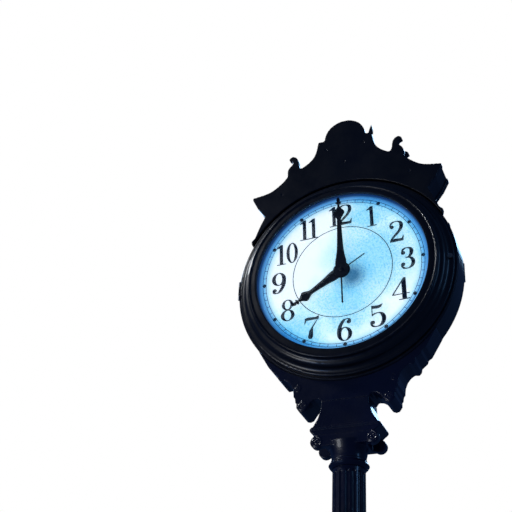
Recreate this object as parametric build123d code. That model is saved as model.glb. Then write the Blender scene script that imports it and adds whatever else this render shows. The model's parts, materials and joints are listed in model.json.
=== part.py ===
"""Two-dial street clock on a fluted post.

Frame: the ground is Z = 0 under the middle of the post, +Z is up, and the front dial faces -Y.
The rear half of the head is the front half turned half a circle about the post.
In the head, "depth" is the distance from the middle plane Y = 0 towards a dial.
"""
import os
from math import acos, cos, hypot, pi, radians, sin, sqrt, tan

from build123d import *

# ---------------------------------------------------------------- driving dimensions (mm)
DIAL_Z = 4000.0            # height of the dial centres above the ground

# dial and its printing
SIGHT_R = 381.0            # clear opening of the bezel, a 30 inch dial
TRACK_R = 353.0            # circle through the five-minute marks
NUMERAL_R = 286.0          # circle through the middles of the numerals
NUMERAL_H = 105.0          # height of a numeral
INNER_CIRCLE_R = 221.0     # thin circle inside the numerals
LINE_W = 2.2               # width of the track's rails and ticks
CIRCLE_W = 3.4             # width of the inner circle
RAIL_HALF = 7.0            # from the five-minute circle to each rail of the minute track
MARK_W = 15.0              # five-minute lozenge
DIAL_TURN = 2.4            # the dials sit this many degrees anticlockwise of plumb
PRINT_T = 0.5              # thickness of the applied marks
DIAL_R = 425.0
DIAL_T = 5.0
DIAL_HOLE_R = 15.0

# drum and bezel doors
DRUM_R = 490.0
DRUM_HALF = 62.0           # depth of the drum's end faces
DIAL_STANDOFF = 39.0       # dial's outer face beyond the drum's end face
DIAL_DEPTH = DRUM_HALF + DIAL_STANDOFF
DRUM_WALL = 8.0
END_RING_T = 6.0
COLLAR_R = 402.0           # inside of the collar that carries a dial
COLLAR_T = 5.0
SEAT_T = 5.0
BEZEL_R = 478.0
BEZEL_GAP = 1.5            # between a bezel door and the drum's end ring
BEZEL_STANDOFF = 69.0      # bezel's front lip beyond the drum's end face
LIP_DEPTH = DRUM_HALF + BEZEL_STANDOFF
LIP_T = 3.0
REVEAL_T = 4.0
GLASS_T = 4.0
GASKET_T = 1.0
RETAINER_T = 4.0
RETAINER_W = 7.0
FIT_GAP = 0.3              # between curved faces of neighbouring pieces

# bezel hinge and lock
BEZEL_HINGE_X = -484.5
HINGE_STANDOFF = 6.0
BEZEL_HINGE_DEPTH = DRUM_HALF + HINGE_STANDOFF
BEZEL_KNUCKLE_R = 5.2
BEZEL_PIN_R = 2.5
BEZEL_KNUCKLE_L = 44.0
KNUCKLE_GAP = 0.6
PIN_CLEARANCE = 0.06       # radial running clearance of pins, pivots and arbors
LOCK_X = 461.0
LOCK_R = 7.0
LOCK_CAM_L = 19.0
LOCK_CAM_W = 9.0
LOCK_CAM_T = 4.0

# header
HEADER_STANDOFF = 11.0     # header panel's outer face beyond the drum's end face
HEADER_DEPTH = DRUM_HALF + HEADER_STANDOFF
HEADER_PANEL_T = 28.0
HEADER_INSET = 24.0        # how far the core stays behind the panels' outline

# bracket under the drum
CRADLE_SETBACK = 4.0       # cradle's face behind the drum's end face
CRADLE_HALF = DRUM_HALF - CRADLE_SETBACK
CAPITAL_STEP = 2.0
CAPITAL_HALF = CRADLE_HALF + CAPITAL_STEP
VOLUTE_STEP = 8.0
VOLUTE_HALF = CAPITAL_HALF + VOLUTE_STEP

# post
POST_R = 65.5
FLUTES = 16
FLUTE_R = 10.0
MAST_R = 44.5
MAST_WALL = 6.0
POST_TOP = -857.0          # below the dial centre
COLLAR_H = 34.0
COLLAR_PROUD = 15.5        # collar's bulge beyond the post
COLLAR_BULGE_R = POST_R + COLLAR_PROUD

# pedestal
PLINTH_W = 560.0
PLINTH_H = 90.0
DIE_W = 400.0
DIE_TOP = 800.0
PEDESTAL_TOP = 1000.0
PEDESTAL_WALL = 12.0
BASE_PLATE_W = 460.0
BASE_PLATE_T = 20.0
ANCHOR_SPACING = 340.0
ANCHOR_HOLE_R = 13.0
DOOR_W = 240.0
DOOR_H = 460.0
DOOR_Z = 480.0             # height of the door's middle
DOOR_T = 10.0
DOOR_GAP = 2.0

# hands
HUB_R = 38.0
MINUTE_LENGTH = 378.0
MINUTE_BULB_R = 293.0
MINUTE_TAIL = 160.0
HOUR_LENGTH = 264.0
HOUR_BULB_R = 192.0
HOUR_TAIL = 118.0
HAND_T = 3.0
HAND_SPACE = 3.0           # air between the two hands
HOUR_HAND_DEPTH = DIAL_DEPTH + 2 * HAND_SPACE
MINUTE_HAND_DEPTH = HOUR_HAND_DEPTH + HAND_T + HAND_SPACE
HOUR_SHOWN = 8             # the clock stands at eight o'clock

# movement and motion work
ARBOR_R = 5.0
PIPE_WALL = 3.0
GEAR_CENTRES = 30.0        # arbor to idler
CANNON_TEETH = 12
IDLER_TEETH = 36
IDLER_PINION_TEETH = 10
HOUR_TEETH = 40
PRESSURE_ANGLE = 25.0
BACKLASH = 0.12
MOVEMENT_W = 110.0
MOVEMENT_BACKSET = 43.0    # movement's face behind the dial's outer face
MOVEMENT_DEPTH = DIAL_DEPTH - MOVEMENT_BACKSET
SPIDER_T = 6.0
SPIDER_HUB_R = 90.0
SPIDER_ARM_W = 40.0
BRIDGE_BACKSET = 15.0
BRIDGE_DEPTH = DIAL_DEPTH - BRIDGE_BACKSET
BRIDGE_T = 4.0

NODES = {}


# ---------------------------------------------------------------- helpers
def keep(name, *solids):
    """Register a node made of one or more separate solids."""
    flat = []
    for shape in solids:
        flat.extend(shape.solids())
    NODES[name] = flat


def turned_z(profile):
    """Solid of revolution about Z from (radius, height) points."""
    return revolve(make_face(Polyline(*[(r, 0, z) for r, z in profile], close=True)), Axis.Z)


def turned_head(profile):
    """Solid of revolution about the dial axis from (radius, depth) points, on the front side."""
    ring = revolve(make_face(Polyline(*[(r, -d) for r, d in profile], close=True)), Axis.Y)
    return Pos(0, 0, DIAL_Z) * ring


def head_plane(depth):
    """Drawing plane at a depth on the front side: x to the right, y up, normal to the viewer."""
    return Plane(origin=(0, -depth, DIAL_Z), x_dir=(1, 0, 0), z_dir=(0, -1, 0))


def head_plate(sketch, depth, thickness):
    """Plate with this outline whose inner face lies at depth, growing towards the viewer."""
    return extrude(head_plane(depth) * sketch, thickness)


def rear(shape):
    """The same piece on the rear half of the head."""
    return Rot(0, 0, 180) * shape


def through_y(sketch, half):
    """Profile drawn in X and Z about the dial centre, from -half to +half in Y."""
    return extrude(head_plane(0) * sketch, half, both=True)


def box(x0, x1, y0, y1, z0, z1):
    return Pos((x0 + x1) / 2, (y0 + y1) / 2, (z0 + z1) / 2) * Box(x1 - x0, y1 - y0, z1 - z0)


def rod_y(x, z, r, d0, d1):
    """Rod along the dial axis direction between two depths, at x and z from the dial centre."""
    return Pos(x, -(d0 + d1) / 2, DIAL_Z + z) * Rot(90, 0, 0) * Cylinder(r, abs(d1 - d0))


def rod_z(x, y, r, z0, z1):
    return Pos(x, y, (z0 + z1) / 2) * Cylinder(r, z1 - z0)


# ---------------------------------------------------------------- pedestal and post
def square_band(width, z0, z1, top_width=None):
    """Square course of the pedestal, with straight or drawn-in sides."""
    bottom = Pos(0, 0, z0) * Rectangle(width, width)
    top = Pos(0, 0, z1) * Rectangle(top_width or width, top_width or width)
    return loft([bottom.face(), top.face()])


def pedestal():
    """Hollow cast pedestal: plinth, square die with a door opening, cap and round shoulder."""
    shell = square_band(PLINTH_W, 0, PLINTH_H)
    shell += square_band(PLINTH_W - 30, PLINTH_H, PLINTH_H + 45, DIE_W + 30)
    shell += square_band(DIE_W, PLINTH_H + 45, DIE_TOP)
    shell += square_band(DIE_W, DIE_TOP - 30, DIE_TOP, DIE_W + 60)
    shell += square_band(DIE_W + 60, DIE_TOP, DIE_TOP + 24)
    shoulder = [(MAST_R + 30, DIE_TOP + 24), (185, DIE_TOP + 24), (190, DIE_TOP + 50), (168, DIE_TOP + 66),
                (128, DIE_TOP + 96), (104, DIE_TOP + 140), (98, PEDESTAL_TOP - 30), (110, PEDESTAL_TOP - 24),
                (110, PEDESTAL_TOP), (MAST_R + 30, PEDESTAL_TOP)]
    shell += turned_z(shoulder)
    inner = DIE_W - 2 * PEDESTAL_WALL
    shell -= box(-inner / 2, inner / 2, -inner / 2, inner / 2, -1, DIE_TOP)
    foot = PLINTH_W - 2 * PEDESTAL_WALL
    shell -= box(-foot / 2, foot / 2, -foot / 2, foot / 2, -1, PLINTH_H - PEDESTAL_WALL)
    shell -= rod_z(0, 0, MAST_R + FIT_GAP, DIE_TOP - 1, PEDESTAL_TOP + 1)
    half_w = DOOR_W / 2
    half_h = DOOR_H / 2
    shell -= box(-half_w, half_w, -DIE_W, -inner / 2 + 1, DOOR_Z - half_h, DOOR_Z + half_h)
    for side in (-1, 1):
        panel = box(-half_w, half_w, 0, 4, DOOR_Z - half_h, DOOR_Z + half_h)
        shell -= Pos(0, -DIE_W / 2 if side < 0 else DIE_W / 2 - 4, 0) * panel
        panel = box(0, 4, -half_w, half_w, DOOR_Z - half_h, DOOR_Z + half_h)
        shell -= Pos(-DIE_W / 2 if side < 0 else DIE_W / 2 - 4, 0, 0) * panel
    keep("pedestal", shell)


def access_door():
    """Door in the pedestal's front, with its hinge and a square-drive lock."""
    half_w = DOOR_W / 2 - DOOR_GAP
    half_h = DOOR_H / 2 - DOOR_GAP
    face = -DIE_W / 2
    door = box(-half_w, half_w, face, face + DOOR_T, DOOR_Z - half_h, DOOR_Z + half_h)
    door += box(-half_w + 24, half_w - 24, face - 5, face, DOOR_Z - half_h + 24, DOOR_Z + half_h - 24)
    hinge_x = -DOOR_W / 2 - 8
    hinge_y = face - 6
    knuckle_l = 40.0
    fixed = []
    pins = []
    for dz in (-140, 140):
        z = DOOR_Z + dz
        moving = rod_z(hinge_x, hinge_y, 5.5, z - knuckle_l / 2, z + knuckle_l / 2)
        moving += box(hinge_x, -half_w + 20, face - 5, face - 0.5, z - knuckle_l / 2, z + knuckle_l / 2)
        moving -= rod_z(hinge_x, hinge_y, 2.5 + PIN_CLEARANCE, z - knuckle_l, z + knuckle_l)
        door += moving
        door += box(-half_w, -half_w + 20, face - 5, face + 1, z - knuckle_l / 2, z + knuckle_l / 2)
        for side in (-1, 1):
            z0 = z + side * (knuckle_l / 2 + KNUCKLE_GAP)
            z1 = z0 + side * 20
            ear = rod_z(hinge_x, hinge_y, 5.5, min(z0, z1), max(z0, z1))
            ear += box(hinge_x - 26, hinge_x, face - 4, face, min(z0, z1), max(z0, z1))
            ear -= rod_z(hinge_x, hinge_y, 2.5, min(z0, z1) - 1, max(z0, z1) + 1)
            fixed.append(ear)
        reach = knuckle_l / 2 + KNUCKLE_GAP + 20
        pins.append(rod_z(hinge_x, hinge_y, 2.5, z - reach, z + reach + 3))
    lock_x = DOOR_W / 2 - 34
    lock_hole = Pos(lock_x, 0, DOOR_Z) * Rot(90, 0, 0) * Cylinder(9 + PIN_CLEARANCE, 3 * DIE_W)
    keep("access_door", door - lock_hole)
    keep("door_hinge_leaves", *fixed)
    keep("door_hinge_pins", *pins)
    barrel = Pos(lock_x, face + 5, DOOR_Z) * Rot(90, 0, 0) * Cylinder(9, 34)
    head = Pos(lock_x, face - 9, DOOR_Z) * Rot(90, 0, 0) * Cylinder(14, 6)
    key = Pos(lock_x, face - 11, DOOR_Z) * Box(8, 8, 10)
    cam = box(lock_x - 7, lock_x + 7, face + 16, face + 21, DOOR_Z - 9, DOOR_Z + 48)
    keep("door_lock", barrel + head - key + cam)


def post():
    """Steel mast inside a fluted sleeve, standing on its base plate."""
    plate = Pos(0, 0, BASE_PLATE_T / 2) * Box(BASE_PLATE_W, BASE_PLATE_W, BASE_PLATE_T)
    reach = ANCHOR_SPACING / 2
    for x in (-reach, reach):
        for y in (-reach, reach):
            plate -= rod_z(x, y, ANCHOR_HOLE_R, -1, BASE_PLATE_T + 1)
    plate -= rod_z(0, 0, MAST_R - MAST_WALL, -1, BASE_PLATE_T + 1)
    keep("base_plate", plate)
    gussets = []
    for quarter in range(4):
        web = make_face(Polyline((MAST_R, 0, BASE_PLATE_T), (MAST_R + 70, 0, BASE_PLATE_T),
                                 (MAST_R + 70, 0, BASE_PLATE_T + 12),
                                 (MAST_R, 0, BASE_PLATE_T + 110), close=True))
        gussets.append(Rot(0, 0, 90 * quarter) * extrude(web, 5, both=True))
    keep("base_gussets", *gussets)
    top = DIAL_Z + CRADLE_SEAT
    mast = rod_z(0, 0, MAST_R, BASE_PLATE_T, top) - rod_z(0, 0, MAST_R - MAST_WALL, BASE_PLATE_T - 1, top + 1)
    keep("mast", mast)
    shaft = rod_z(0, 0, POST_R, PEDESTAL_TOP, DIAL_Z + POST_TOP)
    groove_r = POST_R + 0.45 * FLUTE_R
    for index in range(FLUTES):
        groove = Pos(groove_r, 0, 0) * rod_z(0, 0, FLUTE_R, PEDESTAL_TOP + 40, DIAL_Z + POST_TOP - 24)
        for end_z in (PEDESTAL_TOP + 40, DIAL_Z + POST_TOP - 24):
            groove += Pos(groove_r, 0, end_z) * Sphere(FLUTE_R)
        shaft -= Rot(0, 0, 360 * (index + 0.5) / FLUTES) * groove
    shaft -= rod_z(0, 0, MAST_R + FIT_GAP, 0, DIAL_Z)
    keep("fluted_shaft", shaft)
    base = DIAL_Z + POST_TOP
    collar = turned_z([(MAST_R + FIT_GAP, base), (POST_R + 4, base), (COLLAR_BULGE_R - 5, base + 7),
                       (COLLAR_BULGE_R, base + 15), (COLLAR_BULGE_R - 5, base + 23), (POST_R + 6, base + 28),
                       (POST_R + 6, base + COLLAR_H), (MAST_R + FIT_GAP, base + COLLAR_H)])
    keep("shaft_collar", collar)


# ---------------------------------------------------------------- capital and bracket
CRADLE_SEAT = -600.0       # underside of the bracket's socket, below the dial centre
CAPITAL_TOP = -575.0
VOLUTE_X = 114.0
VOLUTE_Z = -751.0
VOLUTE_R = 27.0
VOLUTE_T = 30.0


def half_and_mirror(points):
    """Closed symmetric outline from its right-hand half, listed from the top down."""
    right = make_face(Polyline(*points, (0, points[-1][1]), (0, points[0][1]), close=True))
    return right + mirror(right, Plane.YZ)


def scroll_relief(x, z, r, depth, height, turns=2.0):
    """Raised spiral band on a flat face, such as the end of a volute."""
    outer = []
    inner = []
    steps = 22
    for index in range(steps + 1):
        t = index / steps
        angle = pi / 2 - 2 * pi * turns * t
        mid = r * (1 - 0.82 * t)
        band = 0.11 * r * (1 - 0.5 * t)
        outer.append((x + (mid + band) * cos(angle), z + (mid + band) * sin(angle)))
        inner.append((x + (mid - band) * cos(angle), z + (mid - band) * sin(angle)))
    edges = Spline(*outer) + Line(outer[-1], inner[-1]) + Spline(*inner[::-1]) + Line(inner[0], outer[0])
    relief = head_plate(make_face(edges), depth, height)
    return relief + rod_y(x, z, 0.2 * r, depth, depth + height)


def capital():
    """Bell, bolster volutes and the flared block that carries the bracket."""
    base = POST_TOP + COLLAR_H
    neck = POST_R + 4
    bell = turned_z([(MAST_R + FIT_GAP, DIAL_Z + base), (neck, DIAL_Z + base), (neck, DIAL_Z + base + 14),
                     (neck + 5, DIAL_Z + base + 38), (neck + 16, DIAL_Z + VOLUTE_Z),
                     (MAST_R + FIT_GAP, DIAL_Z + VOLUTE_Z)])
    middle = Pos(0, VOLUTE_Z + VOLUTE_R / 8) * Rectangle(1.5 * VOLUTE_X, 1.75 * VOLUTE_R)
    volutes = through_y(middle, VOLUTE_HALF - 8)
    scroll = Pos(0, VOLUTE_R / 8) * Rectangle(2 * VOLUTE_X, 1.75 * VOLUTE_R)
    for side in (-1, 1):
        scroll += Pos(side * VOLUTE_X, 0) * Circle(VOLUTE_R)
    front = head_plate(Pos(0, VOLUTE_Z) * scroll, VOLUTE_HALF - VOLUTE_T, VOLUTE_T)
    volutes += front + rear(front)
    for side in (-1, 1):
        for half_turn in (0, 180):
            eye = scroll_relief(side * VOLUTE_X, VOLUTE_Z, 0.8 * VOLUTE_R, VOLUTE_HALF - 0.5, 3.5)
            volutes += Rot(0, 0, half_turn) * eye
    volutes -= rod_z(0, 0, MAST_R + FIT_GAP, 0, DIAL_Z)
    keep("capital", bell + volutes)
    foot = VOLUTE_Z + VOLUTE_R
    block = half_and_mirror([(99, CAPITAL_TOP), (101, CAPITAL_TOP - 30), (112, CAPITAL_TOP - 70),
                             (134, CAPITAL_TOP - 108), (147, foot + 34), (147, foot + 24),
                             (126, foot + 6), (120, foot)])
    body = through_y(block, CAPITAL_HALF)
    body += through_y(Pos(0, foot + 34) * Rectangle(2 * 140, 8), CAPITAL_HALF + 5)
    body -= rod_z(0, 0, MAST_R + FIT_GAP, 0, DIAL_Z)
    keep("capital_block", body)


def cradle():
    """Scrolled saddle under the drum, closed over the mast's top plate."""
    seat = DRUM_R + FIT_GAP
    outline = half_and_mirror([(388, -300), (337, -388), (322, -398), (318, -412), (304, -424), (294, -432),
                               (292, -448), (282, -459), (262, -457), (246, -468), (232, -486), (223, -510),
                               (220, -540), (214, -548), (212, -566), (207, -571), (207, -590), (196, -607),
                               (182, -611), (168, -605), (157, -588), (146, -572), (130, -562), (110, -560),
                               (100, CAPITAL_TOP)])
    body = through_y(outline, CRADLE_HALF)
    body -= Pos(0, 0, DIAL_Z) * Rot(90, 0, 0) * Cylinder(seat, 4 * CRADLE_HALF)
    for side in (-1, 1):
        for half_turn in (0, 180):
            body += Rot(0, 0, half_turn) * scroll_relief(side * 182, -584, 19, CRADLE_HALF - 0.5, 3.5)
            body += Rot(0, 0, half_turn) * scroll_relief(side * 203, -505, 14, CRADLE_HALF - 0.5, 3.0, 1.6)
    body -= rod_z(0, 0, MAST_R + FIT_GAP, 0, DIAL_Z + CRADLE_SEAT)
    for x in (-70, 70):
        body -= rod_z(x, 0, 6.2, DIAL_Z - 560, DIAL_Z)
    keep("cradle", body)
    bolts = []
    for x in (-70, 70):
        top = DIAL_Z - sqrt((DRUM_R - DRUM_WALL) ** 2 - 80 ** 2) + 1
        bolts.append(rod_z(x, 0, 6, DIAL_Z - 552, top) + rod_z(x, 0, 10, top, top + 8))
    keep("cradle_bolts", *bolts)


# ---------------------------------------------------------------- header
def header_outline():
    """Right-hand half of the header's outline about the dial centre, as one face with its mirror."""
    bulb_r = 97.0
    bulb_z = 741.0
    half = [
        Line((0, 300), (0, bulb_z + bulb_r)),
        RadiusArc((0, bulb_z + bulb_r), (bulb_r, bulb_z + 4), bulb_r),
        Polyline((bulb_r, bulb_z + 4), (104, 738), (124, 739), (128, 737), (131, 722)),
        Spline((131, 722), (137, 690), (150, 656), (169, 634), (188, 620), (203, 611)),
        Spline((203, 611), (214, 612), (222, 630), (226, 660), (238, 679), (255, 685), (268, 676), (270, 668)),
        Spline((270, 668), (260, 664), (251, 652), (253, 641), (264, 629), (275, 610), (277, 590), (276, 574)),
        Spline((276, 574), (292, 554), (322, 527), (356, 506), (393, 496), (443, 488)),
        Polyline((443, 488), (443, 477), (417, 426), (389, 387), (379, 372)),
        Spline((379, 372), (385, 358), (399, 329), (412, 297), (424, 264)),
        Polyline((424, 264), (440, 250), (434, 218), (300, 218), (0, 300)),
    ]
    right = make_face(half)
    return right


def header_shape():
    right = header_outline()
    return right + mirror(right, Plane.YZ)


def core_shape():
    """Plainer outline of the block between the panels, set back from their edges but full at the wings."""
    edge = HEADER_INSET
    return half_and_mirror([(0, 838 - edge), (60, 820 - edge), (97 - edge, 741), (131 - edge, 700),
                            (150 - edge, 656), (188 - edge, 600), (250 - edge, 585), (300 - edge, 525),
                            (360, 500), (393, 490), (439, 483), (412, 428), (384, 390), (373, 372),
                            (380, 355), (394, 327), (406, 297), (418, 262), (400, 250)])


def header():
    drum = Pos(0, 0, DIAL_Z) * Rot(90, 0, 0) * Cylinder(DRUM_R + FIT_GAP, 8 * HEADER_DEPTH)
    outline = header_shape()
    panel = head_plate(outline, HEADER_DEPTH - HEADER_PANEL_T, HEADER_PANEL_T) - drum
    panel = max(panel.solids(), key=lambda s: s.volume)
    screw_places = [(-300, 480), (300, 480), (0, 600), (-90, 690), (90, 690)]
    holes = [rod_y(x, z, 4.0, HEADER_DEPTH - 14, HEADER_DEPTH + 1) for x, z in screw_places]
    for hole in holes:
        panel -= hole
    keep("front_header", panel)
    keep("rear_header", rear(panel))
    core_half = HEADER_DEPTH - HEADER_PANEL_T
    core = through_y(core_shape(), core_half) - drum
    core = max(core.solids(), key=lambda s: s.volume)
    keep("header_core", core)
    screws = []
    for x, z in screw_places:
        screw = rod_y(x, z, 3.9, HEADER_DEPTH - 14, HEADER_DEPTH - 1.5)
        screws.append(screw)
        screws.append(rear(screw))
    keep("header_screws", *screws)
    ear = make_face(Spline((112, 739), (118, 762), (127, 785)) + Spline((127, 785), (131, 764), (131, 739))
                    + Line((131, 739), (112, 739)))
    ear_solid = head_plate(ear, HEADER_DEPTH - 20, 14)
    keep("header_ears", ear_solid, rear(ear_solid))


# ---------------------------------------------------------------- drum, dials and bezel doors
def drum():
    """Barrel with end rings, and the collars that carry the dials."""
    inner = DRUM_R - DRUM_WALL
    half = turned_head([(DRUM_R, 0), (DRUM_R, DRUM_HALF - 6), (DRUM_R - 4, DRUM_HALF), (COLLAR_R, DRUM_HALF),
                        (COLLAR_R, DRUM_HALF - END_RING_T), (inner, DRUM_HALF - END_RING_T), (inner, 0)])
    seat_back = DIAL_DEPTH - DIAL_T - SEAT_T
    collar = turned_head([(COLLAR_R, DRUM_HALF - 1), (COLLAR_R, seat_back), (COLLAR_R - 10, seat_back),
                          (COLLAR_R - 10, seat_back + SEAT_T), (DIAL_R - 2, seat_back + SEAT_T),
                          (DIAL_R - 2, seat_back), (COLLAR_R + COLLAR_T, seat_back),
                          (COLLAR_R + COLLAR_T, DRUM_HALF - 1)])
    half += collar
    slot = head_plane(DRUM_HALF - END_RING_T - 1) * (Pos(LOCK_X, (LOCK_CAM_L - LOCK_R) / 2) *
                                                  Rectangle(2 * LOCK_R + 3, LOCK_CAM_L + LOCK_R + 4))
    half -= extrude(slot, END_RING_T + 2)
    shell = half + rear(half)
    for x in (-70, 70):
        shell -= rod_z(x, 0, 6.2, DIAL_Z - DRUM_R, DIAL_Z - 300)
    keep("drum", shell)
    clamp = turned_head([(400, DIAL_DEPTH), (DIAL_R - 1, DIAL_DEPTH), (DIAL_R - 1, DIAL_DEPTH + 3),
                         (400, DIAL_DEPTH + 3)])
    keep("dial_clamps", clamp, rear(clamp))
    strip = turned_head([(inner - 4, 12), (inner - FIT_GAP, 12), (inner - FIT_GAP, 32), (inner - 4, 32)])
    for index in range(36):
        lamp = box(inner - 6, inner - 3.5, -26, -18, DIAL_Z - 4, DIAL_Z + 4)
        strip += Pos(0, 0, DIAL_Z) * Rot(0, 10 * index, 0) * Pos(0, 0, -DIAL_Z) * lamp
    keep("light_rings", strip, rear(strip))


def bezel():
    """Hinged bezel door: moulded ring, gasket, glass, retainer and turn lock."""
    back = DRUM_HALF + BEZEL_GAP
    glass_front = LIP_DEPTH - LIP_T - GASKET_T
    reveal_r = SIGHT_R + 6
    outer = [
        Line((BEZEL_R, -back), (BEZEL_R, -back - 5)),
        ThreePointArc((BEZEL_R, -back - 5), (BEZEL_R - 3, -back - 11), (BEZEL_R - 10, -back - 13)),
        ThreePointArc((BEZEL_R - 10, -back - 13), (BEZEL_R - 24, -back - 19), (BEZEL_R - 30, -back - 31)),
        ThreePointArc((BEZEL_R - 30, -back - 31), (BEZEL_R - 36, -back - 42), (BEZEL_R - 47, -back - 48)),
        ThreePointArc((BEZEL_R - 47, -back - 48), (BEZEL_R - 56, -back - 55), (BEZEL_R - 58, -LIP_DEPTH + 3)),
        ThreePointArc((BEZEL_R - 58, -LIP_DEPTH + 3), (BEZEL_R - 63, -LIP_DEPTH - 1),
                      (BEZEL_R - 68, -LIP_DEPTH + 3)),
        Line((BEZEL_R - 68, -LIP_DEPTH + 3), (BEZEL_R - 72, -LIP_DEPTH + 3)),
        Line((BEZEL_R - 72, -LIP_DEPTH + 3), (SIGHT_R + 8, -LIP_DEPTH)),
        Line((SIGHT_R + 8, -LIP_DEPTH), (SIGHT_R, -LIP_DEPTH)),
        Line((SIGHT_R, -LIP_DEPTH), (SIGHT_R, -LIP_DEPTH + LIP_T)),
        Line((SIGHT_R, -LIP_DEPTH + LIP_T), (reveal_r, -LIP_DEPTH + LIP_T)),
        Line((reveal_r, -LIP_DEPTH + LIP_T), (reveal_r, -DIAL_DEPTH - 5)),
        Line((reveal_r, -DIAL_DEPTH - 5), (reveal_r + REVEAL_T, -DIAL_DEPTH - 5)),
        Line((reveal_r + REVEAL_T, -DIAL_DEPTH - 5), (reveal_r + REVEAL_T, -LIP_DEPTH + 9)),
        Line((reveal_r + REVEAL_T, -LIP_DEPTH + 9), (BEZEL_R - 64, -LIP_DEPTH + 11)),
        Line((BEZEL_R - 64, -LIP_DEPTH + 11), (BEZEL_R - 36, -back - 32)),
        Line((BEZEL_R - 36, -back - 32), (BEZEL_R - 32, -back - 14)),
        Line((BEZEL_R - 32, -back - 14), (BEZEL_R - 12, -back - 7)),
        Line((BEZEL_R - 12, -back - 7), (BEZEL_R - 12, -back)),
        Line((BEZEL_R - 12, -back), (BEZEL_R, -back)),
    ]
    ring = Pos(0, 0, DIAL_Z) * revolve(make_face(outer), Axis.Y)
    hinge_y = -BEZEL_HINGE_DEPTH
    pins = []
    ears = []
    z0 = DIAL_Z - BEZEL_KNUCKLE_L / 2
    z1 = DIAL_Z + BEZEL_KNUCKLE_L / 2
    knuckle = rod_z(BEZEL_HINGE_X, hinge_y, BEZEL_KNUCKLE_R, z0, z1)
    knuckle += box(BEZEL_HINGE_X, -BEZEL_R + 16, hinge_y - 4, hinge_y + 2, z0, z1)
    ring += knuckle
    ring -= rod_z(BEZEL_HINGE_X, hinge_y, BEZEL_PIN_R + PIN_CLEARANCE, z0 - 1, z1 + 1)
    for side in (-1, 1):
        e0 = DIAL_Z + side * (BEZEL_KNUCKLE_L / 2 + KNUCKLE_GAP)
        e1 = e0 + side * 22
        low = min(e0, e1)
        high = max(e0, e1)
        ear = rod_z(BEZEL_HINGE_X, hinge_y, BEZEL_KNUCKLE_R, low, high)
        ear += box(BEZEL_HINGE_X - 4, BEZEL_HINGE_X + 4, hinge_y, -DRUM_HALF, low, high)
        ears.append(ear - rod_z(BEZEL_HINGE_X, hinge_y, BEZEL_PIN_R, low - 1, high + 1))
    reach = BEZEL_KNUCKLE_L / 2 + KNUCKLE_GAP + 22
    pins.append(rod_z(BEZEL_HINGE_X, hinge_y, BEZEL_PIN_R, DIAL_Z - reach, DIAL_Z + reach + 3))
    ring -= rod_y(LOCK_X, 0, LOCK_R + PIN_CLEARANCE, DRUM_HALF, LIP_DEPTH)
    ring -= rod_y(LOCK_X, 0, LOCK_R + 5, back, LIP_DEPTH)
    sleeve = rod_y(LOCK_X, 0, LOCK_R + 5, back, back + 17)
    ring += sleeve - rod_y(LOCK_X, 0, LOCK_R + PIN_CLEARANCE, 0, LIP_DEPTH)
    gasket = turned_head([(SIGHT_R, glass_front), (reveal_r - 0.2, glass_front),
                          (reveal_r - 0.2, glass_front + GASKET_T), (SIGHT_R, glass_front + GASKET_T)])
    glass = turned_head([(0, glass_front - GLASS_T), (reveal_r - FIT_GAP, glass_front - GLASS_T),
                         (reveal_r - FIT_GAP, glass_front), (0, glass_front)])
    hold = glass_front - GLASS_T
    retainer = turned_head([(reveal_r - RETAINER_W, hold), (reveal_r - 0.2, hold),
                            (reveal_r - 0.2, hold - RETAINER_T), (reveal_r - RETAINER_W + 2, hold - RETAINER_T)])
    cam_depth = DRUM_HALF - END_RING_T - 2
    lock = rod_y(LOCK_X, 0, LOCK_R, cam_depth - LOCK_CAM_T, back + 22)
    lock += rod_y(LOCK_X, 0, LOCK_R + 4, back + 17.5, back + 23)
    lock -= rod_y(LOCK_X, 0, 2.2, back + 20, back + 24)
    lock -= head_plate(Pos(LOCK_X, 0) * Rectangle(2, 9), back + 20, 4)
    lock += head_plate(Pos(LOCK_X, (LOCK_CAM_L - LOCK_R) / 2) * Rectangle(LOCK_CAM_W, LOCK_CAM_L + LOCK_R),
                       cam_depth - LOCK_CAM_T, LOCK_CAM_T)
    pieces = {"bezel": ring, "gasket": gasket, "glass": glass, "glass_retainer": retainer, "bezel_lock": lock}
    for name, shape in pieces.items():
        keep("front_" + name, shape)
        keep("rear_" + name, rear(shape))
    keep("bezel_hinge_ears", *ears, *[rear(ear) for ear in ears])
    keep("bezel_hinge_pins", *pins, *[rear(pin) for pin in pins])


# ---------------------------------------------------------------- numerals and track
THICK = 0.15               # widest stroke, as a share of the numeral's height
HAIR = 0.045               # thinnest stroke
BALL = 0.085               # radius of a ball terminal


def stroke(points, start=None, end=None):
    """Curved stroke that is thick where it runs upright and thin where it lies flat."""
    path = Spline(*[(x, y) for x, y in points])
    steps = 20
    left = []
    right = []
    for index in range(steps + 1):
        t = index / steps
        at = path @ t
        along = path % t
        upright = abs(along.Y) / hypot(along.X, along.Y)
        width = HAIR + (THICK - HAIR) * upright ** 1.6
        if start is not None:
            width = min(width, start + (THICK - start) * 3 * t)
        if end is not None:
            width = min(width, end + (THICK - end) * 3 * (1 - t))
        left.append((at.X - along.Y * width / 2, at.Y + along.X * width / 2))
        right.append((at.X + along.Y * width / 2, at.Y - along.X * width / 2))
    edges = Spline(*left) + Line(left[-1], right[-1]) + Spline(*right[::-1]) + Line(right[0], left[0])
    return make_face(edges)


def loop(x, y, rx, ry, thick=THICK):
    """Closed bowl with upright stress."""
    return Pos(x, y) * (Ellipse(rx, ry) - Ellipse(rx - thick, ry - HAIR))


def ball(x, y, r=BALL):
    return Pos(x, y) * Circle(r)


def plate_of(*points):
    return make_face(Polyline(*points, close=True))


WIDTHS = {0: 0.88, 1: 1.0, 2: 1.05, 3: 1.05, 4: 1.25, 5: 1.18, 6: 1.12, 7: 1.2, 8: 1.08, 9: 1.12}


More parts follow.
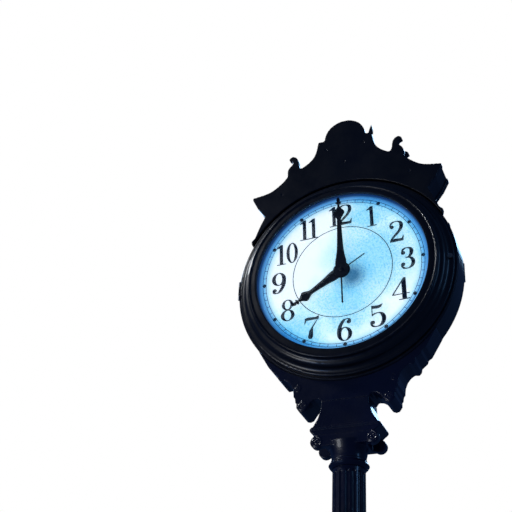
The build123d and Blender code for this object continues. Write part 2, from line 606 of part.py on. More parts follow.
def digit(which):
    """Numeral of height 1 standing on y = 0, centred on x = 0 and set to its own width."""
    return scale(digit_shape(which), by=(WIDTHS[which], 1, 1))


def digit_shape(which):
    if which == 0:
        return loop(0, 0.5, 0.29, 0.5, 0.16)
    if which == 1:
        stem = plate_of((-0.075, 0), (0.075, 0), (0.075, 1.0), (-0.02, 1.0), (-0.075, 0.93))
        flag = plate_of((-0.21, 0.86), (-0.21, 0.82), (-0.05, 0.84), (-0.03, 1.0))
        return stem + flag + Pos(0, HAIR / 2) * Rectangle(0.4, HAIR)
    if which == 2:
        top = stroke([(-0.235, 0.74), (-0.16, 0.93), (0.0, 0.978), (0.17, 0.9), (0.205, 0.72), (0.1, 0.49),
                      (-0.1, 0.27), (-0.26, 0.06)], start=HAIR, end=HAIR)
        foot = plate_of((-0.29, 0), (-0.27, 0.08), (-0.12, 0.16), (0.05, 0.13), (0.19, 0.13), (0.245, 0.25),
                        (0.28, 0.25), (0.25, 0), (0.1, 0))
        return top + foot + ball(-0.175, 0.73)
    if which == 3:
        upper = stroke([(-0.2, 0.78), (-0.12, 0.94), (0.02, 0.978), (0.15, 0.9), (0.17, 0.74), (0.08, 0.57),
                        (-0.07, 0.52)], start=HAIR)
        lower = stroke([(-0.07, 0.53), (0.1, 0.5), (0.2, 0.38), (0.2, 0.2), (0.1, 0.06), (-0.06, 0.023),
                        (-0.2, 0.09), (-0.24, 0.22)], end=HAIR)
        return upper + lower + ball(-0.155, 0.76) + ball(-0.185, 0.23)
    if which == 4:
        diagonal = plate_of((0.1, 1.0), (-0.29, 0.29), (-0.29, 0.245), (-0.235, 0.29), (0.1, 0.9))
        bar = plate_of((-0.29, 0.245), (0.28, 0.245), (0.28, 0.29), (-0.29, 0.29))
        stem = plate_of((0.03, 0), (0.18, 0), (0.18, 1.0), (0.1, 1.0), (0.03, 0.87))
        return diagonal + bar + stem + Pos(0.1, HAIR / 2) * Rectangle(0.36, HAIR)
    if which == 5:
        flag = plate_of((-0.2, 0.98), (-0.2, 0.5), (-0.165, 0.53), (-0.165, 0.83), (0.02, 0.81), (0.13, 0.85),
                        (0.2, 0.99), (0.17, 0.99), (0.05, 0.955), (-0.1, 0.96))
        bowl = stroke([(-0.19, 0.51), (-0.06, 0.61), (0.1, 0.6), (0.2, 0.46), (0.205, 0.26), (0.1, 0.07),
                       (-0.06, 0.023), (-0.2, 0.09), (-0.235, 0.2)], start=HAIR, end=HAIR)
        return flag + bowl + ball(-0.18, 0.22)
    if which == 6:
        spine = stroke([(-0.2, 0.3), (-0.19, 0.56), (-0.09, 0.82), (0.06, 0.965), (0.2, 0.93), (0.225, 0.84)],
                       end=HAIR)
        return loop(0, 0.31, 0.275, 0.31) + spine + ball(0.17, 0.83)
    if which == 7:
        bar = plate_of((-0.25, 0.7), (-0.22, 0.7), (-0.17, 0.84), (0.0, 0.84), (0.27, 0.84), (0.27, 1.0),
                       (0.24, 1.0), (0.16, 0.955), (-0.12, 0.985), (-0.22, 0.95))
        leg = plate_of((0.27, 0.93), (0.06, 0.5), (0.05, 0.1), (0.01, 0.0), (-0.1, 0.0), (-0.13, 0.09),
                       (-0.08, 0.36), (0.06, 0.62), (0.225, 0.88))
        return bar + leg
    if which == 8:
        return loop(0, 0.265, 0.275, 0.265, 0.14) + loop(0, 0.755, 0.23, 0.245, 0.12)
    return Pos(0, 1) * Rot(0, 0, 180) * digit_shape(6)


def numeral(hour):
    """Sketch of one hour's numeral at full size about its own middle."""
    digits = [int(mark) for mark in str(hour)]
    places = [0.0]
    if len(digits) == 2:
        places = [-0.25, 0.23] if hour != 11 else [-0.2, 0.2]
    sketch = Sketch()
    for which, place in zip(digits, places):
        sketch += Pos(place, -0.5) * digit(which)
    return scale(sketch, by=NUMERAL_H)


def dials():
    """Translucent dials and their applied numerals, circles and marks."""
    disc = turned_head([(DIAL_HOLE_R, DIAL_DEPTH - DIAL_T), (DIAL_R - 2, DIAL_DEPTH - DIAL_T),
                        (DIAL_R - 2, DIAL_DEPTH), (DIAL_HOLE_R, DIAL_DEPTH)])
    keep("front_dial", disc)
    keep("rear_dial", rear(disc))
    numerals = []
    printed = []
    for hour in range(1, 13):
        angle = radians(30 * hour)
        place = Pos(NUMERAL_R * sin(angle), NUMERAL_R * cos(angle))
        sketch = Rot(0, 0, DIAL_TURN) * place * numeral(hour)
        printed.append(sketch)
        numerals.extend(head_plate(sketch, DIAL_DEPTH, PRINT_T).solids())
    keep("front_numerals", *numerals)
    keep("rear_numerals", *[rear(piece) for piece in numerals])
    inner_rail = TRACK_R - RAIL_HALF
    outer_rail = TRACK_R + RAIL_HALF
    track = Circle(outer_rail + LINE_W / 2) - Circle(outer_rail - LINE_W / 2)
    track += Circle(inner_rail + LINE_W / 2) - Circle(inner_rail - LINE_W / 2)
    rail_gap = outer_rail - inner_rail
    for minute in range(60):
        tick = Pos(0, TRACK_R) * Rectangle(LINE_W, rail_gap)
        if minute % 5 == 0:
            tick += Pos(0, TRACK_R) * Rot(0, 0, 45) * Rectangle(MARK_W, MARK_W)
        track += Rot(0, 0, DIAL_TURN - 6 * minute) * tick
    circle = Circle(INNER_CIRCLE_R + CIRCLE_W / 2) - Circle(INNER_CIRCLE_R - CIRCLE_W / 2)
    for sketch in printed:
        circle -= sketch
        track -= sketch
    marks = [head_plate(track, DIAL_DEPTH, PRINT_T), head_plate(circle, DIAL_DEPTH, PRINT_T)]
    keep("front_minute_track", *marks)
    keep("rear_minute_track", *[rear(mark) for mark in marks])


# ---------------------------------------------------------------- hands
def hand_outline(length, bulb_r, shoulder, waist, bulb_half, hub):
    """Hand pointing up from the origin: hub, tapered blade, bulb, collar and spear tip."""
    root = hub - 18
    neck = bulb_r - 1.35 * bulb_half
    beyond = bulb_r + 1.35 * bulb_half
    right = [
        Spline((0, root - 14), (shoulder * 0.8, root - 6), (shoulder, root + 16), (shoulder * 0.8, root + 50),
               (waist * 1.35, (root + neck) / 2 + 20), (waist, neck)),
        Spline((waist, neck), (bulb_half * 0.8, bulb_r - bulb_half * 0.5), (bulb_half, bulb_r),
               (bulb_half * 0.55, bulb_r + bulb_half * 0.7), (5, beyond)),
    ]
    tip_base = length - 26
    right += [
        Polyline((5, beyond), (5, tip_base - 12), (13, tip_base - 8),
                 (13, tip_base - 2), (5, tip_base)),
        Spline((5, tip_base), (8, tip_base + 8), (5, tip_base + 17), (0, length)),
        Line((0, length), (0, root - 14)),
    ]
    blade = make_face(right)
    blade += mirror(blade, Plane.YZ)
    return blade + Circle(hub)


def tail_outline(reach, width):
    """Thin counterbalance rod pointing down, with a rounded end."""
    return Pos(0, -reach / 2) * Rectangle(width, reach) + Pos(0, -reach) * Circle(0.7 * width)


def hands():
    minute = hand_outline(MINUTE_LENGTH, MINUTE_BULB_R, 25, 9, 26, HUB_R - 4)
    minute = Rot(0, 0, DIAL_TURN) * (minute + tail_outline(MINUTE_TAIL, 6.5)) - Circle(ARBOR_R)
    hour = hand_outline(HOUR_LENGTH, HOUR_BULB_R, 25, 11, 25, HUB_R)
    hour = Rot(0, 0, DIAL_TURN - 30 * HOUR_SHOWN) * (hour + tail_outline(HOUR_TAIL, 4.5))
    hour -= Circle(ARBOR_R + PIPE_WALL)
    minute_hand = head_plate(minute, MINUTE_HAND_DEPTH, HAND_T)
    hour_hand = head_plate(hour, HOUR_HAND_DEPTH, HAND_T)
    cap = turned_head([(0, MINUTE_HAND_DEPTH + HAND_T + 3.2), (6, MINUTE_HAND_DEPTH + HAND_T + 3.0),
                       (10, MINUTE_HAND_DEPTH + HAND_T + 1.5), (10, MINUTE_HAND_DEPTH + HAND_T),
                       (ARBOR_R, MINUTE_HAND_DEPTH + HAND_T), (ARBOR_R, MINUTE_HAND_DEPTH + HAND_T + 1),
                       (0, MINUTE_HAND_DEPTH + HAND_T + 1)])
    for name, piece in (("minute_hand", minute_hand), ("hour_hand", hour_hand), ("hand_cap", cap)):
        keep("front_" + name, piece)
        keep("rear_" + name, rear(piece))


# ---------------------------------------------------------------- movements
def gear_outline(teeth, module, addendum, dedendum, turn=0.0):
    """Involute spur gear as a sketch about the origin."""
    pitch_r = module * teeth / 2
    alpha = radians(PRESSURE_ANGLE)
    base_r = pitch_r * cos(alpha)
    tip_r = pitch_r + addendum * module
    root_r = pitch_r - dedendum * module

    def involute(r):
        if r <= base_r:
            return 0.0
        phi = acos(base_r / r)
        return tan(phi) - phi

    half_tooth = pi / (2 * teeth) - BACKLASH / (2 * pitch_r) + involute(pitch_r)
    points = []
    for index in range(teeth):
        middle = 2 * pi * index / teeth + radians(turn)
        flank = [(root_r, half_tooth)]
        start_r = max(base_r, root_r + 0.05)
        for step in range(6):
            r = start_r + (tip_r - start_r) * step / 5
            flank.append((r, half_tooth - involute(r)))
        for r, angle in flank:
            points.append((r * cos(middle - angle), r * sin(middle - angle)))
        for r, angle in flank[::-1]:
            points.append((r * cos(middle + angle), r * sin(middle + angle)))
    return plate_of(*points)


def movements():
    """Spider plate, two sealed geared motors and a 12 to 1 motion work behind each dial."""
    inner = DRUM_R - DRUM_WALL
    spider = Circle(SPIDER_HUB_R)
    for arm in range(4):
        angle = 45 + 90 * arm
        spider += Rot(0, 0, angle) * (Pos(inner / 2, 0) * Rectangle(inner, SPIDER_ARM_W))
    spider = (spider & Circle(inner - FIT_GAP)) - Circle(12)
    keep("movement_spider", through_y(spider, SPIDER_T / 2))
    bore = ARBOR_R + PIN_CLEARANCE
    half_w = MOVEMENT_W / 2
    case = head_plate(Pos(0, -GEAR_CENTRES / 2) * RectangleRounded(MOVEMENT_W, MOVEMENT_W, 8), SPIDER_T / 2,
                      MOVEMENT_DEPTH - SPIDER_T / 2)
    case -= rod_y(0, 0, bore, MOVEMENT_DEPTH - 25, MOVEMENT_DEPTH + 1)
    case += rod_y(0, -GEAR_CENTRES, 2.5, MOVEMENT_DEPTH, BRIDGE_DEPTH)
    motor_top = DIAL_Z - GEAR_CENTRES / 2 - half_w
    motor = rod_z(0, -SPIDER_T / 2 - 26, 22, motor_top - 52, motor_top)
    motor += rod_z(0, -SPIDER_T / 2 - 26, 9, motor_top - 58, motor_top - 52)
    pillars = [(-42, 26), (42, 26), (-42, -56), (42, -56)]
    bridge = head_plate(Pos(0, -GEAR_CENTRES / 2) * RectangleRounded(100, 98, 8), BRIDGE_DEPTH, BRIDGE_T)
    bridge -= rod_y(0, 0, 12, BRIDGE_DEPTH - 1, BRIDGE_DEPTH + BRIDGE_T + 1)
    for x, z in pillars:
        bridge += rod_y(x, z, 5, MOVEMENT_DEPTH, BRIDGE_DEPTH)
    pipe_r = ARBOR_R + PIPE_WALL
    bush = rod_y(0, 0, 12, BRIDGE_DEPTH, DIAL_DEPTH + 4)
    bush += rod_y(0, 0, 19, DIAL_DEPTH, DIAL_DEPTH + 3)
    bush -= rod_y(0, 0, pipe_r + PIN_CLEARANCE, BRIDGE_DEPTH - 1, DIAL_DEPTH + 5)
    module_a = 2 * GEAR_CENTRES / (CANNON_TEETH + IDLER_TEETH)
    module_b = 2 * GEAR_CENTRES / (IDLER_PINION_TEETH + HOUR_TEETH)
    half_pitch = 180 / IDLER_TEETH
    arbor = rod_y(0, 0, ARBOR_R, MOVEMENT_DEPTH - 20, MINUTE_HAND_DEPTH + HAND_T)
    arbor += head_plate(gear_outline(CANNON_TEETH, module_a, 0.8, 1.05, 90), MOVEMENT_DEPTH + 3, 9)
    idler = head_plate(gear_outline(IDLER_TEETH, module_a, 0.8, 1.05, 90 + half_pitch), MOVEMENT_DEPTH + 4, 7)
    pinion_turn = 90
    pinion = gear_outline(IDLER_PINION_TEETH, module_b, 0.85, 1.1, pinion_turn)
    idler += head_plate(pinion, MOVEMENT_DEPTH + 11, 13)
    idler = Pos(0, 0, -GEAR_CENTRES) * idler
    idler -= rod_y(0, -GEAR_CENTRES, 2.5 + PIN_CLEARANCE, MOVEMENT_DEPTH, BRIDGE_DEPTH)
    wheel_turn = -90 + 180 / HOUR_TEETH
    hour_wheel = head_plate(gear_outline(HOUR_TEETH, module_b, 0.8, 1.1, wheel_turn), MOVEMENT_DEPTH + 15, 7)
    pipe = rod_y(0, 0, pipe_r, MOVEMENT_DEPTH + 14, HOUR_HAND_DEPTH + HAND_T + 1)
    pipe = pipe + hour_wheel - rod_y(0, 0, bore, MOVEMENT_DEPTH, LIP_DEPTH)
    keep("motion_bridges", bridge, rear(bridge))
    keep("pipe_bushes", bush, rear(bush))
    pieces = {"movement": case, "motor": motor, "minute_arbor": arbor, "idler_gear": idler, "hour_pipe": pipe}
    for name, piece in pieces.items():
        keep("front_" + name, piece)
        keep("rear_" + name, rear(piece))


def main():
    os.makedirs("parts", exist_ok=True)
    for build in (pedestal, access_door, post, capital, cradle, header, drum, bezel, dials, hands, movements):
        build()
    for name, solids in NODES.items():
        shape = solids[0] if len(solids) == 1 else Compound(children=solids)
        export_step(shape, f"parts/{name}.step")
    print(len(NODES), "nodes")


main()
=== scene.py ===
"""Looks of the two-dial street clock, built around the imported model. Lengths are in metres."""
import json
from math import cos, radians, sin

import bmesh
import bpy
from mathutils import Matrix, Vector

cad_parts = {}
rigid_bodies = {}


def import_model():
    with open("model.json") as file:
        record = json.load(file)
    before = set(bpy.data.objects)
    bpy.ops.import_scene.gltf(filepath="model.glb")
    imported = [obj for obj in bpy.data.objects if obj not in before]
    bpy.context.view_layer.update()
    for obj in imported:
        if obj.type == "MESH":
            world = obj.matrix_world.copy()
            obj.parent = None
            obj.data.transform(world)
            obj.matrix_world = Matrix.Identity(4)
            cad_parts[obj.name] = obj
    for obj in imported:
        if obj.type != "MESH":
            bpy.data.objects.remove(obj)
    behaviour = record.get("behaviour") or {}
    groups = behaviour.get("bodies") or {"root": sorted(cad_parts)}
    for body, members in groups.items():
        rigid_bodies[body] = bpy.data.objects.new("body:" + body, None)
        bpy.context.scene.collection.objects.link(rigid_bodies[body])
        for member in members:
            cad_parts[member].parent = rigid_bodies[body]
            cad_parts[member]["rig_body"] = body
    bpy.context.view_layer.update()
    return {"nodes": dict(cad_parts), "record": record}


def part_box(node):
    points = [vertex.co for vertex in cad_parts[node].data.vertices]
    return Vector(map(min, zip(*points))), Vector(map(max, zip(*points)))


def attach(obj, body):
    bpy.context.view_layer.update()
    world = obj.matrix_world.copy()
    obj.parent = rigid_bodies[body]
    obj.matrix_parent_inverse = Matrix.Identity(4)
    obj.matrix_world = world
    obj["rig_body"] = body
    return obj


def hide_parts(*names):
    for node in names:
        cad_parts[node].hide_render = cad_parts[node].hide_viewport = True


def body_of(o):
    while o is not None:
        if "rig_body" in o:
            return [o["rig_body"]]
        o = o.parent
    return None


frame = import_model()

NODES = frame["nodes"]
DIAL_LOW, DIAL_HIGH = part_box("front_dial")
DIAL = (DIAL_LOW + DIAL_HIGH) / 2
DIAL_CENTRE = Vector((0.0, 0.0, DIAL.z))

DIAL_WHITE = (0.97, 0.985, 1.0)
# Cyan clouds on the dials are painted uneven backlight: cyan where the painted light is weaker, white where
# it is strongest
PAINTED_BACKLIGHT_CLOUDS = [((0.14, 0.06), 0.26), ((0.02, -0.14), 0.20), ((-0.20, -0.27), 0.17), ((0.12, 0.25), 0.15)]
HUB_SHADE = (0.045, -0.03)          # where the hub's soft shadow falls on a dial

# Castings: node, voxel size and how many times its edges are rubbed
CASTINGS = [
    ("cradle", 0.0022, 4), ("capital_block", 0.0022, 4), ("capital", 0.0022, 3),
    ("front_header", 0.0028, 3), ("rear_header", 0.0028, 3),
]
RUB_STRENGTH = 0.5
FACES_KEPT = 0.3                    # share of a casting's faces that is left after thinning

# Floor sheet
FLOOR_REACH = 14.0                  # from the middle to each edge
FLOOR_CELLS = 28
FLOOR_Z = -0.0005
ROLL_START = 0.75                   # share of the reach at which the sheet starts to rise
ROLL_HEIGHT = 0.6
FLOOR_GLOW = 0.62

# Lights: name, place, size, power, colour and what it is aimed at (None is the dials' centre)
LIGHTS = [
    ("key", (-5.6, -2.2, 8.4), (0.8, 0.8), 140.0, (0.92, 0.96, 1.0), None),
    ("side", (4.2, -0.9, 5.2), (0.5, 2.2), 14.0, (0.20, 0.48, 1.0), (0.2, 0.0, 3.6)),
    ("foot", (-2.6, -3.2, 1.2), (1.2, 0.6), 12.0, (0.22, 0.45, 1.0), (-0.2, 0.0, 3.7)),
    ("rim", (-2.9, 4.4, 6.9), (1.6, 2.4), 70.0, (0.35, 0.62, 1.0), None),
    ("back", (-0.1, 6.0, 8.3), (1.8, 3.4), 150.0, (0.36, 0.66, 1.0), None),
    ("plinth", (-3.0, -3.4, 2.2), (1.6, 1.6), 40.0, (0.95, 0.97, 1.0), (0.0, 0.0, 0.6)),
]
SKY_SEEN = ((1.0, 1.0, 1.0, 1.0), 1.0)       # colour and strength of the world for the camera
SKY_ON_CLOCK = ((0.16, 0.36, 1.0, 1.0), 0.09)

# Camera, fitted to the photo
CAMERA_FROM_DIAL = (1.2426, -3.9395, -2.4534)
CAMERA_YAW = radians(23.18)
CAMERA_PITCH = radians(31.94)
CAMERA_ROLL = radians(3.03)
LENS_MM = 77.84
SENSOR_MM = 36.0
FARTHEST = 100.0

# ---------------------------------------------------------------- node helpers


def new_material(name):
    """Empty node material with a Principled shader; returns the material, its tree and the shader."""
    material = bpy.data.materials.new(name)
    material.use_nodes = True
    tree = material.node_tree
    return material, tree, tree.nodes["Principled BSDF"]


def add(tree, kind, **values):
    """New shader node with its properties and inputs set by name."""
    node = tree.nodes.new(kind)
    for key, value in values.items():
        socket = key.replace("_", " ")
        if socket in node.inputs:
            node.inputs[socket].default_value = value
        else:
            setattr(node, key, value)
    return node


def coordinates(tree):
    return add(tree, "ShaderNodeTexCoord").outputs["Object"]


def noise(tree, scale, detail=4.0, roughness=0.55, vector=None):
    node = add(tree, "ShaderNodeTexNoise", Scale=scale, Detail=detail, Roughness=roughness)
    tree.links.new(vector or coordinates(tree), node.inputs["Vector"])
    return node.outputs["Fac"]


def ramp(tree, factor, stops):
    """Colour ramp from (position, colour) stops; a number stands for a grey."""
    node = add(tree, "ShaderNodeValToRGB")
    elements = node.color_ramp.elements
    while len(elements) < len(stops):
        elements.new(0.5)
    for element, (position, colour) in zip(elements, stops):
        element.position = position
        if isinstance(colour, (int, float)):
            colour = (colour, colour, colour)
        element.color = (*colour, 1.0)
    tree.links.new(factor, node.inputs["Fac"])
    return node.outputs["Color"]


def mix(tree, factor, first, second):
    """Mix of two colours or colour outputs by an output or a number."""
    node = add(tree, "ShaderNodeMix", data_type="RGBA")
    for socket, value in (("Factor", factor), ("A", first), ("B", second)):
        found = [s for s in node.inputs if s.name == socket and s.enabled][0]
        if isinstance(value, bpy.types.NodeSocket):
            tree.links.new(value, found)
        elif socket == "Factor":
            found.default_value = value
        else:
            found.default_value = (*value, 1.0)
    return [s for s in node.outputs if s.enabled][0]


def product(tree, first, second):
    """One colour output times another."""
    node = add(tree, "ShaderNodeMix", data_type="RGBA", blend_type="MULTIPLY")
    sockets = [s for s in node.inputs if s.enabled]
    sockets[0].default_value = 1.0
    tree.links.new(first, sockets[1])
    tree.links.new(second, sockets[2])
    return [s for s in node.outputs if s.enabled][0]


def bump(tree, shader, height, strength, distance, after=None):
    node = add(tree, "ShaderNodeBump", Strength=strength, Distance=distance)
    tree.links.new(height, node.inputs["Height"])
    if after is not None:
        tree.links.new(after, node.inputs["Normal"])
    tree.links.new(node.outputs["Normal"], shader.inputs["Normal"])
    return node.outputs["Normal"]


def worn_edges(tree, radius=0.012):
    """High along exposed edges, broken up by noise."""
    bevel = add(tree, "ShaderNodeBevel", samples=4, Radius=radius)
    geometry = add(tree, "ShaderNodeNewGeometry")
    dot = add(tree, "ShaderNodeVectorMath", operation="DOT_PRODUCT")
    tree.links.new(bevel.outputs["Normal"], dot.inputs[0])
    tree.links.new(geometry.outputs["Normal"], dot.inputs[1])
    edge = ramp(tree, dot.outputs["Value"], [(0.80, 1.0), (0.985, 0.0)])
    broken = ramp(tree, noise(tree, 34.0, 6.0, 0.7), [(0.42, 0.0), (0.62, 1.0)])
    both = add(tree, "ShaderNodeMath", operation="MULTIPLY")
    tree.links.new(edge, both.inputs[0])
    tree.links.new(broken, both.inputs[1])
    return both.outputs["Value"]


# ---------------------------------------------------------------- materials


def paint(name, deep, tint, cast_depth, gloss):
    """Gloss enamel over a casting: colour drift, dust in the mottling, thin edges and orange peel."""
    material, tree, shader = new_material(name)
    drift = ramp(tree, noise(tree, 2.6, 3.0), [(0.35, deep), (0.7, tint)])
    dust = ramp(tree, noise(tree, 46.0, 8.0, 0.7), [(0.56, 0.0), (0.78, 1.0)])
    dusty = mix(tree, dust, drift, tuple(0.55 * c + 0.004 for c in tint))
    edge = worn_edges(tree)
    colour = mix(tree, edge, dusty, (0.020, 0.026, 0.050))
    tree.links.new(colour, shader.inputs["Base Color"])
    rough = ramp(tree, noise(tree, 9.0, 6.0, 0.65), [(0.3, gloss), (0.75, gloss + 0.16)])
    tree.links.new(rough, shader.inputs["Roughness"])
    shader.inputs["Coat Weight"].default_value = 0.35
    shader.inputs["Coat Roughness"].default_value = 0.12
    shader.inputs["Specular IOR Level"].default_value = 0.45
    rounded = add(tree, "ShaderNodeBevel", samples=4, Radius=0.004)
    peel = bump(tree, shader, noise(tree, 240.0, 3.0), 0.12, 0.0006, rounded.outputs["Normal"])
    bump(tree, shader, noise(tree, 38.0, 7.0, 0.6), cast_depth, 0.003, peel)
    return material


def metal(name, colour, rough, scale, brushed=None):
    material, tree, shader = new_material(name)
    vector = coordinates(tree)
    if brushed is not None:
        mapping = add(tree, "ShaderNodeMapping", Scale=brushed)
        tree.links.new(vector, mapping.inputs["Vector"])
        vector = mapping.outputs["Vector"]
    grain = noise(tree, scale, 6.0, 0.6, vector)
    dark = tuple(0.55 * c for c in colour)
    tree.links.new(ramp(tree, grain, [(0.3, dark), (0.65, colour)]), shader.inputs["Base Color"])
    tree.links.new(ramp(tree, grain, [(0.3, rough + 0.18), (0.7, rough)]), shader.inputs["Roughness"])
    shader.inputs["Metallic"].default_value = 1.0
    bump(tree, shader, grain, 0.15, 0.0005)
    return material


def math(tree, operation, first, second=0.0):
    """Math node on two outputs or numbers."""
    node = add(tree, "ShaderNodeMath", operation=operation)
    for socket, value in zip(node.inputs, (first, second)):
        if isinstance(value, bpy.types.NodeSocket):
            tree.links.new(value, socket)
        else:
            socket.default_value = value
    return node.outputs["Value"]


def distance_to(tree, across, up, place):
    """Distance on a dial from a place given across and above its centre."""
    along = math(tree, "SUBTRACT", across, place[0])
    above = math(tree, "SUBTRACT", up, place[1])
    along_squared = math(tree, "MULTIPLY", along, along)
    above_squared = math(tree, "MULTIPLY", above, above)
    squares = math(tree, "ADD", along_squared, above_squared)
    return math(tree, "SQRT", squares)


def dial_plastic():
    """Milky acrylic with painted light: a painted glow, white with cyan clouds of painted uneven backlight,
    painted shade turning blue towards the rim, finely mottled, dim under the hub.
    """
    material, tree, shader = new_material("dial_acrylic_painted_light")
    split = add(tree, "ShaderNodeSeparateXYZ")
    tree.links.new(coordinates(tree), split.inputs[0])
    facing = math(tree, "SIGN", math(tree, "MULTIPLY", split.outputs["Y"], -1.0))
    across = math(tree, "MULTIPLY", split.outputs["X"], facing)
    up = math(tree, "SUBTRACT", split.outputs["Z"], DIAL_CENTRE.z)
    cloud = noise(tree, 9.0, 5.0, 0.6)
    drift = math(tree, "MULTIPLY", math(tree, "SUBTRACT", cloud, 0.5), 0.16)
    # Painted uneven backlight: how far each point lies inside a cyan cloud of weaker painted light
    painted_backlight_dip = None
    for place, reach in PAINTED_BACKLIGHT_CLOUDS:
        far = math(tree, "ADD", distance_to(tree, across, up, place), drift)
        near = math(tree, "SUBTRACT", 1.0, math(tree, "DIVIDE", far, reach))
        painted_backlight_dip = near if painted_backlight_dip is None else math(tree, "MAXIMUM", painted_backlight_dip, near)
    ground = ramp(tree, painted_backlight_dip, [(0.0, DIAL_WHITE), (0.28, (0.70, 0.93, 0.98)), (0.75, (0.40, 0.78, 0.93))])
    speck = ramp(tree, noise(tree, 120.0, 5.0, 0.9), [(0.43, (0.30, 0.58, 0.76)), (0.52, (1.0, 1.0, 1.0))])
    mottled = mix(tree, ramp(tree, painted_backlight_dip, [(0.0, 0.18), (0.5, 0.85)]), ground, product(tree, ground, speck))
    shade = ramp(tree, distance_to(tree, across, up, HUB_SHADE), [
        (0.02, (0.10, 0.22, 0.34)), (0.075, (0.72, 0.88, 0.95)), (0.11, (1.0, 1.0, 1.0))])
    shaded = product(tree, mottled, shade)
    # Painted shade of the bezel rim: blue towards the edge of the dial, near black under the lip
    rim = ramp(tree, math(tree, "DIVIDE", distance_to(tree, across, up, (0.0, 0.0)), 0.4), [
        (0.80, (1.0, 1.0, 1.0)), (0.845, (0.62, 0.86, 0.96)), (0.885, (0.20, 0.52, 0.84)),
        (0.925, (0.09, 0.30, 0.62)), (0.955, (0.01, 0.04, 0.14))])
    colour = product(tree, shaded, rim)
    tree.links.new(colour, shader.inputs["Base Color"])
    # Painted glow: the dial emits its own painted colour, with no lamp behind it
    tree.links.new(colour, shader.inputs["Emission Color"])
    shader.inputs["Emission Strength"].default_value = 0.92
    shader.inputs["Roughness"].default_value = 0.38
    bump(tree, shader, noise(tree, 90.0, 4.0), 0.05, 0.0005)
    return material


def plain(name, low, high, scale, rough, depth=0.1):
    """Non-metal with two tones of mottling and a fine surface."""
    material, tree, shader = new_material(name)
    tone = noise(tree, scale, 5.0, 0.6)
    tree.links.new(ramp(tree, tone, [(0.35, low), (0.7, high)]), shader.inputs["Base Color"])
    tree.links.new(ramp(tree, tone, [(0.3, rough), (0.7, rough + 0.15)]), shader.inputs["Roughness"])
    bump(tree, shader, noise(tree, 6 * scale, 3.0), depth, 0.0005)
    return material


def window_glass():
    material, tree, shader = new_material("clear_glass")
    shader.inputs["Base Color"].default_value = (0.93, 0.98, 1.0, 1.0)
    shader.inputs["IOR"].default_value = 1.45
    shader.inputs["Transmission Weight"].default_value = 1.0
    smear = ramp(tree, noise(tree, 5.0, 6.0, 0.7), [(0.45, 0.0), (0.8, 0.10)])
    tree.links.new(smear, shader.inputs["Roughness"])
    clear = add(tree, "ShaderNodeBsdfTransparent", Color=(0.94, 0.985, 1.0, 1.0))
    blend = add(tree, "ShaderNodeMixShader")
    turned = add(tree, "ShaderNodeLayerWeight", Blend=0.5).outputs["Facing"]
    sheen = ramp(tree, turned, [(0.0, 0.03), (0.6, 0.08), (0.9, 0.35), (1.0, 0.8)])
    tree.links.new(sheen, blend.inputs["Fac"])
    tree.links.new(clear.outputs["BSDF"], blend.inputs[1])
    tree.links.new(shader.outputs["BSDF"], blend.inputs[2])
    tree.links.new(blend.outputs["Shader"], tree.nodes["Material Output"].inputs["Surface"])
    return material


MATERIALS = {
    "cast_iron_paint": paint("post_enamel", (0.0016, 0.0022, 0.012), (0.004, 0.0065, 0.034), 0.35, 0.24),
    "head_paint": paint("head_enamel", (0.0014, 0.0014, 0.003), (0.0028, 0.003, 0.008), 0.22, 0.30),
    "steel": metal("zinc_steel", (0.42, 0.43, 0.46), 0.35, 60.0),
    "lock_metal": metal("lock_nickel", (0.46, 0.43, 0.36), 0.28, 90.0),
    "dial_plastic": dial_plastic(),
    "dial_print": plain("dial_ink", (0.004, 0.010, 0.035), (0.010, 0.030, 0.075), 60.0, 0.45),
    "hand_paint": plain("hand_enamel", (0.003, 0.003, 0.008), (0.008, 0.009, 0.022), 30.0, 0.38),
    "glass": window_glass(),
    "rubber": plain("gasket_rubber", (0.015, 0.015, 0.016), (0.030, 0.030, 0.032), 120.0, 0.75),
    "aluminium": metal("mill_aluminium", (0.66, 0.67, 0.69), 0.34, 14.0, (1.0, 1.0, 18.0)),
    "motor_black": plain("motor_case", (0.02, 0.02, 0.022), (0.045, 0.045, 0.05), 80.0, 0.6, 0.2),
    "brass": metal("turned_brass", (0.72, 0.52, 0.22), 0.24, 40.0),
}


def give_materials():
    for part in frame["record"]["subparts"]:
        mesh = NODES[part["node"]].data
        mesh.materials.clear()
        mesh.materials.append(MATERIALS[part["material_slot"]])


# ---------------------------------------------------------------- castings


def soften(node, voxel, passes):
    """Cast copy of a sharp CAD solid: remeshed, its edges rubbed round, then thinned."""
    mesh = NODES[node].data.copy()
    piece = bpy.data.objects.new(node + "_casting", mesh)
    bpy.context.scene.collection.objects.link(piece)
    remesh = piece.modifiers.new("remesh", "REMESH")
    remesh.mode = "VOXEL"
    remesh.voxel_size = voxel
    rub = piece.modifiers.new("rub", "SMOOTH")
    rub.factor = RUB_STRENGTH
    rub.iterations = passes
    thin = piece.modifiers.new("thin", "DECIMATE")
    thin.ratio = FACES_KEPT
    graph = bpy.context.evaluated_depsgraph_get()
    piece.data = bpy.data.meshes.new_from_object(piece.evaluated_get(graph))
    piece.modifiers.clear()
    for face in piece.data.polygons:
        face.use_smooth = True
    parts = frame["record"]["subparts"]
    slot = [part["material_slot"] for part in parts if part["node"] == node][0]
    piece.data.materials.clear()
    piece.data.materials.append(MATERIALS[slot])
    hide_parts(node)
    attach(piece, body_of(NODES[node])[0])


def castings():
    """Softened copies in place of the sharp cast pieces."""
    for node, voxel, passes in CASTINGS:
        soften(node, voxel, passes)


# ---------------------------------------------------------------- stage


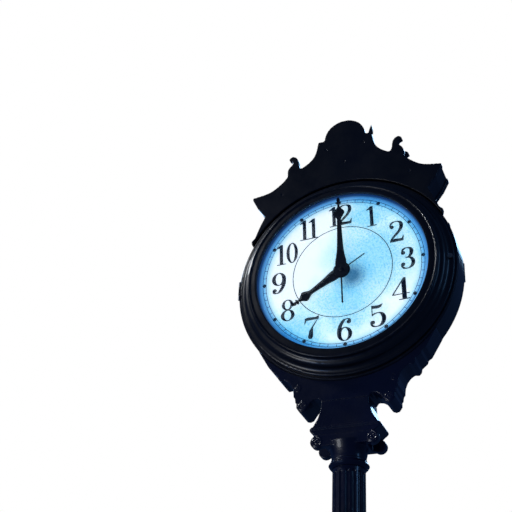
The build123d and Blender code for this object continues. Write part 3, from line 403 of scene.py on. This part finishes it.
def floor():
    """Pale ground sheet with a slow roll at its far edges."""
    grid = bmesh.new()
    bmesh.ops.create_grid(grid, x_segments=FLOOR_CELLS, y_segments=FLOOR_CELLS, size=FLOOR_REACH)
    for vertex in grid.verts:
        reach = max(abs(vertex.co.x), abs(vertex.co.y)) / FLOOR_REACH
        vertex.co.z = FLOOR_Z + ROLL_HEIGHT * max(0.0, reach - ROLL_START) ** 2
    mesh = bpy.data.meshes.new("floor")
    grid.to_mesh(mesh)
    grid.free()
    sheet = bpy.data.objects.new("floor", mesh)
    bpy.context.scene.collection.objects.link(sheet)
    paper = plain("floor_paper", (0.78, 0.79, 0.80), (0.83, 0.84, 0.85), 3.0, 0.85, 0.05)
    shader = paper.node_tree.nodes["Principled BSDF"]
    shader.inputs["Emission Color"].default_value = (1.0, 1.0, 1.0, 1.0)
    shader.inputs["Emission Strength"].default_value = FLOOR_GLOW
    mesh.materials.append(paper)
    sheet.visible_diffuse = False
    sheet.visible_glossy = False


def area_light(name, place, size, power, colour, target):
    """Soft box that faces its target, or the dials' centre."""
    data = bpy.data.lights.new(name, "AREA")
    data.shape = "RECTANGLE"
    data.size = size[0]
    data.size_y = size[1]
    data.energy = power
    data.color = colour
    light = bpy.data.objects.new(name, data)
    light.location = place
    aim = (Vector(target) if target else DIAL_CENTRE) - Vector(place)
    light.rotation_euler = aim.to_track_quat("-Z", "Y").to_euler()
    bpy.context.scene.collection.objects.link(light)


def studio():
    """White surround for the camera, a dim cool one for the object, and soft boxes."""
    world = bpy.data.worlds.new("surround")
    world.use_nodes = True
    tree = world.node_tree
    tree.nodes.clear()
    seen = add(tree, "ShaderNodeBackground", Color=SKY_SEEN[0], Strength=SKY_SEEN[1])
    dim = add(tree, "ShaderNodeBackground", Color=SKY_ON_CLOCK[0], Strength=SKY_ON_CLOCK[1])
    path = add(tree, "ShaderNodeLightPath")
    choose = add(tree, "ShaderNodeMixShader")
    out = add(tree, "ShaderNodeOutputWorld")
    tree.links.new(path.outputs["Is Camera Ray"], choose.inputs["Fac"])
    tree.links.new(dim.outputs["Background"], choose.inputs[1])
    tree.links.new(seen.outputs["Background"], choose.inputs[2])
    tree.links.new(choose.outputs["Shader"], out.inputs["Surface"])
    bpy.context.scene.world = world
    for light in LIGHTS:
        area_light(*light)


def camera():
    """Camera low in front and to the right of the front dial, looking up with a slight roll."""
    data = bpy.data.cameras.new("camera")
    data.sensor_width = SENSOR_MM
    data.lens = LENS_MM
    data.clip_end = FARTHEST
    eye = bpy.data.objects.new("camera", data)
    ahead = Vector((-sin(CAMERA_YAW) * cos(CAMERA_PITCH), cos(CAMERA_YAW) * cos(CAMERA_PITCH),
                    sin(CAMERA_PITCH)))
    level = Vector((cos(CAMERA_YAW), sin(CAMERA_YAW), 0.0))
    up = level.cross(ahead)
    right = cos(CAMERA_ROLL) * level + sin(CAMERA_ROLL) * up
    top = -sin(CAMERA_ROLL) * level + cos(CAMERA_ROLL) * up
    place = DIAL_CENTRE + Vector(CAMERA_FROM_DIAL)
    eye.matrix_world = Matrix((
        (right.x, top.x, -ahead.x, place.x),
        (right.y, top.y, -ahead.y, place.y),
        (right.z, top.z, -ahead.z, place.z),
        (0.0, 0.0, 0.0, 1.0)))
    bpy.context.scene.collection.objects.link(eye)
    bpy.context.scene.camera = eye
    bpy.context.scene.view_settings.view_transform = "Standard"


camera()
studio()
floor()
give_materials()
castings()
